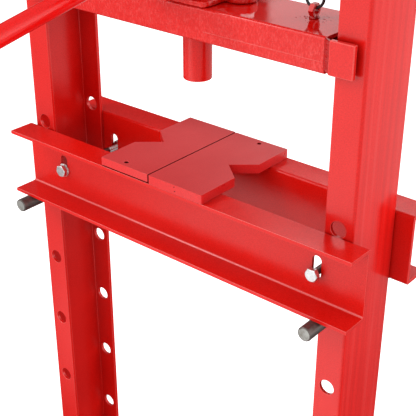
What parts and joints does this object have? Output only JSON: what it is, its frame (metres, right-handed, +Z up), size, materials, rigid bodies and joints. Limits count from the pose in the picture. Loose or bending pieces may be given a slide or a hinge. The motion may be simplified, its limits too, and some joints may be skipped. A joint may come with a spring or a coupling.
{
  "type": "hydraulic shop press",
  "caption": "H-frame workshop press with a sprung crossbar that a hand-pumped bottle jack drives down onto a pinned, height-adjustable table.",
  "frame": {"origin": "centre of the ram nose's bottom face, on the pressing axis, with the jack lowered; the floor is 940.2 mm below", "axes": "+Z up, +X to the right and +Y to the back, seen from the front where the pump handle points"},
  "size_m": [0.675, 0.7938, 1.39],
  "materials": {
    "red_enamel": "glossy",
    "zinc_plate": "bright zinc plate",
    "bare_steel": "turned, lightly oiled",
    "ground_steel": "ground",
    "black_wire": "black oxide",
    "black_rubber": "matte"
  },
  "bodies": {
    "frame": {"upright_left": "red_enamel", "foot_left": "red_enamel", "foot_bolt_left_front": "zinc_plate", "foot_bolt_left_rear": "zinc_plate", "upright_right": "red_enamel", "foot_right": "red_enamel", "foot_bolt_right_front": "zinc_plate", "foot_bolt_right_rear": "zinc_plate", "lower_brace": "red_enamel", "crosshead_front": "red_enamel", "crosshead_rear": "red_enamel", "head_block": "red_enamel", "head_socket": "red_enamel", "head_bolt_left_lower": "zinc_plate", "head_bolt_left_upper": "zinc_plate", "block_bolt_left": "zinc_plate", "spring_bolt_left": "zinc_plate", "return_spring_left": "black_wire", "head_bolt_right_lower": "zinc_plate", "head_bolt_right_upper": "zinc_plate", "block_bolt_right": "zinc_plate", "spring_bolt_right": "zinc_plate", "return_spring_right": "black_wire"},
    "table": {"table_front": "red_enamel", "table_rear": "red_enamel", "tie_bolt_left": "zinc_plate", "tie_nut_left": "zinc_plate", "tie_washer_left": "zinc_plate", "tie_bolt_right": "zinc_plate", "tie_nut_right": "zinc_plate"},
    "arbor_plate_left": {"arbor_plate_left": "red_enamel"},
    "arbor_plate_right": {"arbor_plate_right": "red_enamel"},
    "table_pin_left": {"table_pin_left": "bare_steel"},
    "table_pin_right": {"table_pin_right": "bare_steel"},
    "crossbar": {"crossbar": "red_enamel", "guide_left_front": "red_enamel", "guide_left_rear": "red_enamel", "guide_right_front": "red_enamel", "guide_right_rear": "red_enamel", "spring_lug_left": "red_enamel", "spring_lug_right": "red_enamel", "ram_nose": "red_enamel", "jack_base": "red_enamel", "jack_bolt_left": "zinc_plate", "jack_bolt_right": "zinc_plate", "jack_reservoir": "red_enamel", "jack_pressure_cylinder": "ground_steel", "jack_top_nut": "red_enamel", "jack_filler_plug": "black_rubber", "pump_cylinder": "zinc_plate", "pump_link": "red_enamel"},
    "jack_ram": {"jack_ram": "ground_steel"},
    "extension_screw": {"jack_extension_screw": "ground_steel"},
    "pump_plunger": {"pump_plunger": "ground_steel"},
    "pump_lever": {"handle_socket": "red_enamel"},
    "pump_handle": {"pump_handle": "red_enamel", "handle_grip": "black_rubber"},
    "release_valve": {"release_valve": "zinc_plate"}
  },
  "joints": [
    {"name": "crossbar_slide", "type": "slide", "parent": "frame", "child": "crossbar", "axis": [0, 0, -1], "range_m": [0, 0.11], "stiffness_N_per_m": 900, "springref_m": -0.25, "deforming": ["return_spring_left", "return_spring_right"]},
    {"name": "jack_ram_slide", "type": "slide", "parent": "crossbar", "child": "jack_ram", "axis": [0, 0, 1], "range_m": [0, 0.11]},
    {"name": "extension_screw_turn", "type": "hinge", "parent": "jack_ram", "child": "extension_screw", "pos_m": [0, -0.0025, 0.3298], "axis": [0, 0, 1], "range_deg": [0, 90]},
    {"name": "pump_lever_swing", "type": "hinge", "parent": "crossbar", "child": "pump_lever", "pos_m": [0, -0.047, 0.1893], "axis": [-1, 0, 0], "range_deg": [0, 45]},
    {"name": "pump_plunger_slide", "type": "slide", "parent": "crossbar", "child": "pump_plunger", "axis": [0, 0, 1], "range_m": [0, 0.016]},
    {"name": "pump_handle_pull", "type": "slide", "parent": "pump_lever", "child": "pump_handle", "axis": [0, -0.981, -0.1942], "range_m": [0, 0.055]},
    {"name": "release_valve_turn", "type": "hinge", "parent": "crossbar", "child": "release_valve", "pos_m": [-0.034, -0.0625, 0.1308], "axis": [0, -1, 0], "range_deg": [0, 180]},
    {"name": "table_lift", "type": "slide", "parent": "frame", "child": "table", "axis": [0, 0, 1], "range_m": [0, 0.004]},
    {"name": "arbor_plate_left_slide", "type": "slide", "parent": "table", "child": "arbor_plate_left", "axis": [-1, 0, 0], "range_m": [0, 0.14]},
    {"name": "arbor_plate_right_slide", "type": "slide", "parent": "table", "child": "arbor_plate_right", "axis": [1, 0, 0], "range_m": [0, 0.14]},
    {"name": "table_pin_left_pull", "type": "slide", "parent": "frame", "child": "table_pin_left", "axis": [0, -1, 0], "range_m": [0, 0.2]},
    {"name": "table_pin_right_pull", "type": "slide", "parent": "frame", "child": "table_pin_right", "axis": [0, -1, 0], "range_m": [0, 0.2]}
  ],
  "couplings": [
    {"joint": "jack_ram_slide", "follows": "crossbar_slide", "ratio": 1},
    {"joint": "pump_plunger_slide", "follows": "pump_lever_swing", "m_per_rad": 0.02}
  ]
}
